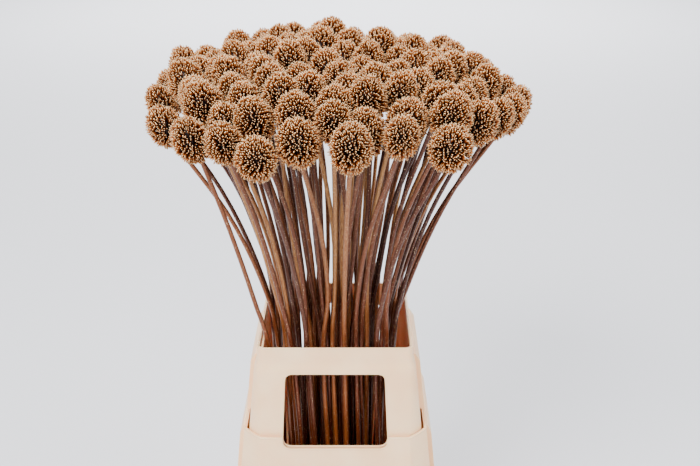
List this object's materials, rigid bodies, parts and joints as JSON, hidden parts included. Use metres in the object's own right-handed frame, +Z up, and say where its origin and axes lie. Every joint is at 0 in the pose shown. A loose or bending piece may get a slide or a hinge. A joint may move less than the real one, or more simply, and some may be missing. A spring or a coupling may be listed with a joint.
{
  "type": "dried allium seed head bunch in a holder",
  "caption": "Bunch of dried, gilded egg-shaped allium seed heads on long thin stems, standing in a square nested plastic holder with windows.",
  "frame": {"origin": "centre of the holder's flat underside, on the floor", "axes": "+Z up along the stems, front window towards -Y, grips towards +X and -X"},
  "size_m": [0.3807, 0.3732, 0.6724],
  "materials": {
    "dried_allium": "satin",
    "holder_plastic": "satin"
  },
  "bodies": {
    "root": {"allium_01": "dried_allium", "allium_02": "dried_allium", "allium_03": "dried_allium", "allium_04": "dried_allium", "allium_05": "dried_allium", "allium_06": "dried_allium", "allium_07": "dried_allium", "allium_08": "dried_allium", "allium_09": "dried_allium", "allium_10": "dried_allium", "allium_11": "dried_allium", "allium_12": "dried_allium", "allium_13": "dried_allium", "allium_14": "dried_allium", "allium_15": "dried_allium", "allium_16": "dried_allium", "allium_17": "dried_allium", "allium_18": "dried_allium", "allium_19": "dried_allium", "allium_20": "dried_allium", "allium_21": "dried_allium", "allium_22": "dried_allium", "allium_23": "dried_allium", "allium_24": "dried_allium", "allium_25": "dried_allium", "allium_26": "dried_allium", "allium_27": "dried_allium", "allium_28": "dried_allium", "allium_29": "dried_allium", "allium_30": "dried_allium", "allium_31": "dried_allium", "allium_32": "dried_allium", "allium_33": "dried_allium", "allium_34": "dried_allium", "allium_35": "dried_allium", "allium_36": "dried_allium", "allium_37": "dried_allium", "allium_38": "dried_allium", "allium_39": "dried_allium", "allium_40": "dried_allium", "allium_41": "dried_allium", "allium_42": "dried_allium", "allium_43": "dried_allium", "allium_44": "dried_allium", "allium_45": "dried_allium", "allium_46": "dried_allium", "allium_47": "dried_allium", "allium_48": "dried_allium", "allium_49": "dried_allium", "allium_50": "dried_allium", "allium_51": "dried_allium", "allium_52": "dried_allium", "allium_53": "dried_allium", "allium_54": "dried_allium", "allium_55": "dried_allium", "allium_56": "dried_allium", "allium_57": "dried_allium", "allium_58": "dried_allium", "bucket": "holder_plastic", "collar": "holder_plastic"}
  },
  "joints": []
}
